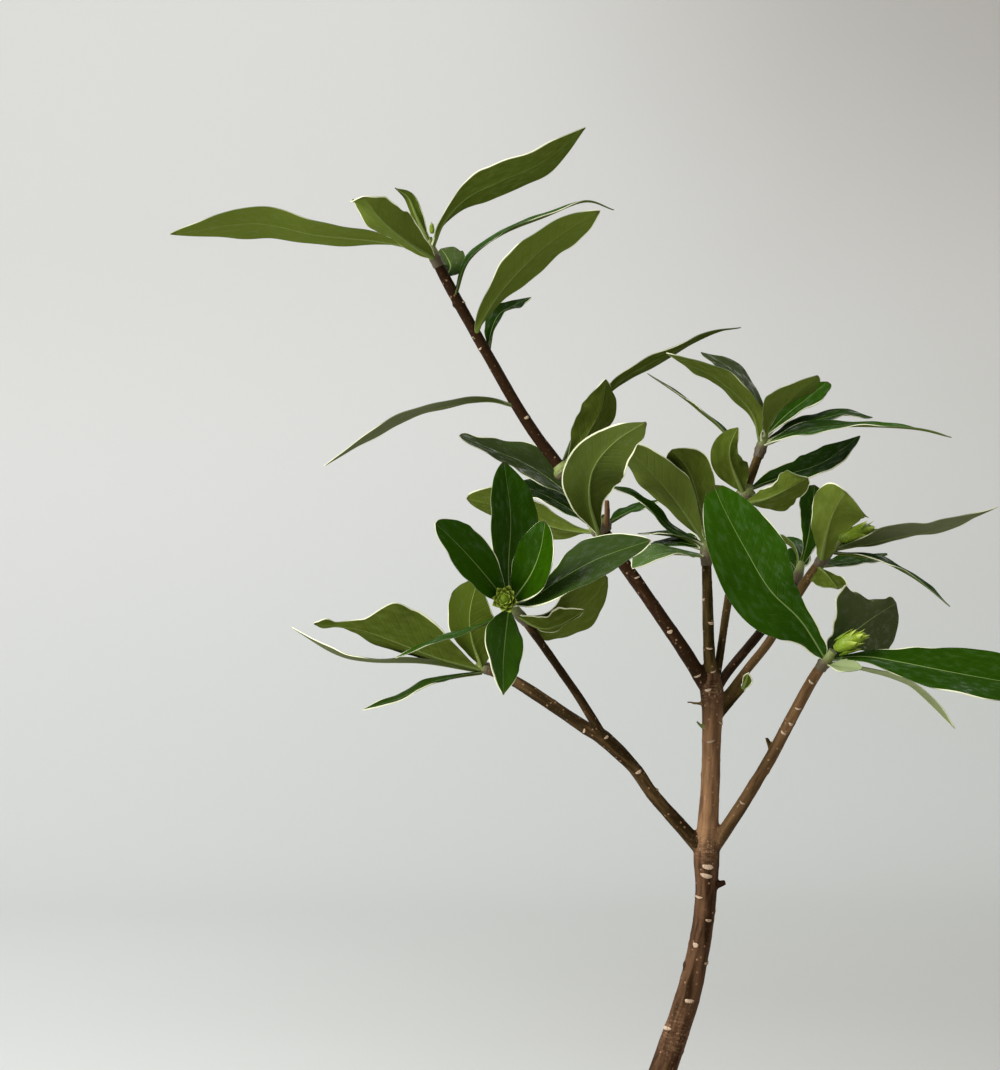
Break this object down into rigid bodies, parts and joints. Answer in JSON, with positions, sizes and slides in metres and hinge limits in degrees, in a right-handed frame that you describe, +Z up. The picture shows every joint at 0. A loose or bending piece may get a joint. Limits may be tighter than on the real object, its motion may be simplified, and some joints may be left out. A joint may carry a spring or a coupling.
{
  "type": "potted winter daphne",
  "caption": "Small potted evergreen shrub: whorls of glossy pale-edged leaves on bare forked wood, standing in soil in a plain clay pot.",
  "frame": {"origin": "middle of the flat underside of the pot", "axes": "+Z up along the pot and trunk, +Y away from the front view, +X to the viewer's right"},
  "size_m": [0.3479, 0.199, 0.585],
  "materials": {
    "clay": "matte unglazed, with pale bloom",
    "soil": "rough damp crumb",
    "bark": "satin brown with pale leaf scars",
    "leaf": "glossy above, matt olive below, cream margin",
    "bud": "satin yellow-green"
  },
  "bodies": {
    "root": {"pot": "clay", "soil": "soil", "stems": "bark", "whorl_top_left": "leaf", "leaf_top_back": "leaf", "leaf_top_narrow": "leaf", "leaf_top_broad": "leaf", "leaf_top_young": "leaf", "leaf_far_left": "leaf", "whorl_mid_low": "leaf", "whorl_mid_high": "leaf", "whorl_centre": "leaf", "whorl_high_right": "leaf", "whorl_behind": "leaf", "whorl_right": "leaf", "whorl_right_back": "leaf", "whorl_front_right": "leaf", "whorl_front_left": "leaf", "whorl_left": "leaf", "leaf_fork": "leaf", "bud_top_left": "bud", "bud_right": "bud", "bud_front_right": "bud", "bud_front_left": "bud"}
  },
  "joints": []
}
